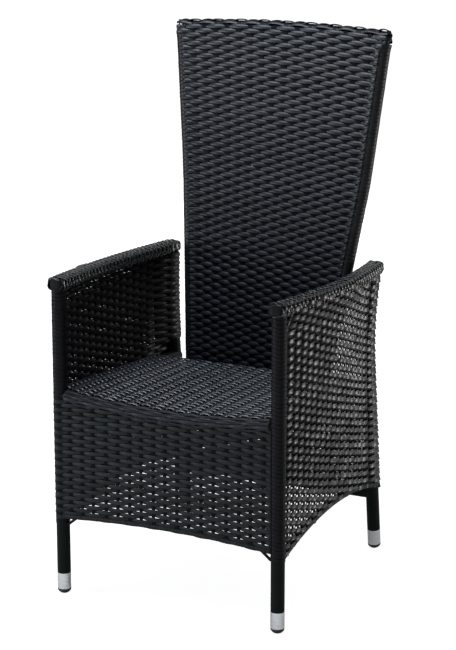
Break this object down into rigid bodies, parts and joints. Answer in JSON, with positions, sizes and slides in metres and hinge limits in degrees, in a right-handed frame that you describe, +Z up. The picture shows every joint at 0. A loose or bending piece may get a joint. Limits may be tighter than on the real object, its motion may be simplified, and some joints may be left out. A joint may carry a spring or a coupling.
{
  "type": "reclining garden armchair",
  "caption": "High-backed reclining garden armchair with woven seat, back, sides and skirts on a tubular frame; the back tilts on hinges against a lockable gas spring.",
  "frame": {"origin": "on the floor, at the middle of the footprint", "axes": "+Z up, the chair faces -Y, +X towards the sitter's left hand"},
  "size_m": [0.556, 0.5658, 1.138],
  "materials": {
    "black_frame": "satin black powder coat",
    "woven_strip": "smooth flat plastic strip, slightly glossy, woven",
    "wrap_strip": "smooth flat plastic strip, wound tight",
    "bright_ferrule": "bright satin",
    "black_rubber": "matt",
    "zinc_steel": "bright zinc plated",
    "gas_black": "semi-gloss black",
    "black_plastic": "satin"
  },
  "bodies": {
    "base": {"front_post_left": "black_frame", "front_post_right": "black_frame", "rear_post_left": "black_frame", "rear_post_right": "black_frame", "arm_rail_left": "black_frame", "arm_rail_right": "black_frame", "seat_front_rail": "black_frame", "seat_rear_rail": "black_frame", "seat_side_rail_left": "black_frame", "seat_side_rail_right": "black_frame", "seat_cross_rail": "black_frame", "skirt_front_rod": "black_frame", "skirt_side_rod_left": "black_frame", "skirt_side_rod_right": "black_frame", "rear_top_rail": "black_frame", "rear_lower_rail": "black_frame", "side_panel_left": "woven_strip", "side_panel_right": "woven_strip", "front_skirt": "woven_strip", "rear_skirt": "woven_strip", "seat_weave": "woven_strip", "front_post_wrap_left": "wrap_strip", "front_post_wrap_right": "wrap_strip", "rear_post_wrap_left": "wrap_strip", "rear_post_wrap_right": "wrap_strip", "arm_wrap_left": "wrap_strip", "arm_wrap_right": "wrap_strip", "seat_front_wrap": "wrap_strip", "foot_ferrules": "bright_ferrule", "foot_tips": "black_rubber", "hinge_brackets": "black_frame", "hinge_bolts": "zinc_steel", "hinge_nuts": "zinc_steel", "hinge_washers": "zinc_steel", "gas_bracket": "black_frame", "gas_front_bolt": "zinc_steel", "gas_front_nut": "zinc_steel", "gas_release_head": "zinc_steel", "gas_rod": "zinc_steel", "lever_bracket": "black_frame", "lever_grommet": "black_plastic"},
    "back": {"back_side_tube_left": "black_frame", "back_side_tube_right": "black_frame", "back_top_tube": "black_frame", "back_lower_tube": "black_frame", "back_weave": "woven_strip", "back_edge_wrap_left": "wrap_strip", "back_edge_wrap_right": "wrap_strip", "back_top_wrap": "wrap_strip", "hinge_bushes": "black_plastic", "gas_lever_plates": "black_frame", "clevis_pin": "zinc_steel", "clevis_clip": "zinc_steel"},
    "gas_cylinder": {"gas_cylinder": "gas_black", "gas_gland": "black_plastic"},
    "release_lever": {"release_shaft": "black_frame", "release_finger": "zinc_steel", "release_grip": "black_plastic"},
    "release_pin": {"release_pin": "zinc_steel"}
  },
  "joints": [
    {"name": "back_recline", "type": "hinge", "parent": "base", "child": "back", "pos_m": [0, 0.1449, 0.38], "axis": [-1, 0, 0], "range_deg": [0, 32]},
    {"name": "gas_cylinder_slide", "type": "slide", "parent": "base", "child": "gas_cylinder", "axis": [0, -1, 0], "range_m": [0, 0.0276]},
    {"name": "release_lever_lift", "type": "hinge", "parent": "base", "child": "release_lever", "pos_m": [0, -0.0955, 0.31897], "axis": [-1, 0, 0], "range_deg": [0, 12], "stiffness_Nm_per_rad": 0.8, "springref_deg": -17.19},
    {"name": "release_pin_slide", "type": "slide", "parent": "base", "child": "release_pin", "axis": [0, 1, 0], "range_m": [0, 0.0025]}
  ],
  "couplings": [
    {"joint": "gas_cylinder_slide", "follows": "back_recline", "m_per_rad": 0.049353},
    {"joint": "release_pin_slide", "follows": "release_lever_lift", "m_per_rad": 0.0119}
  ]
}
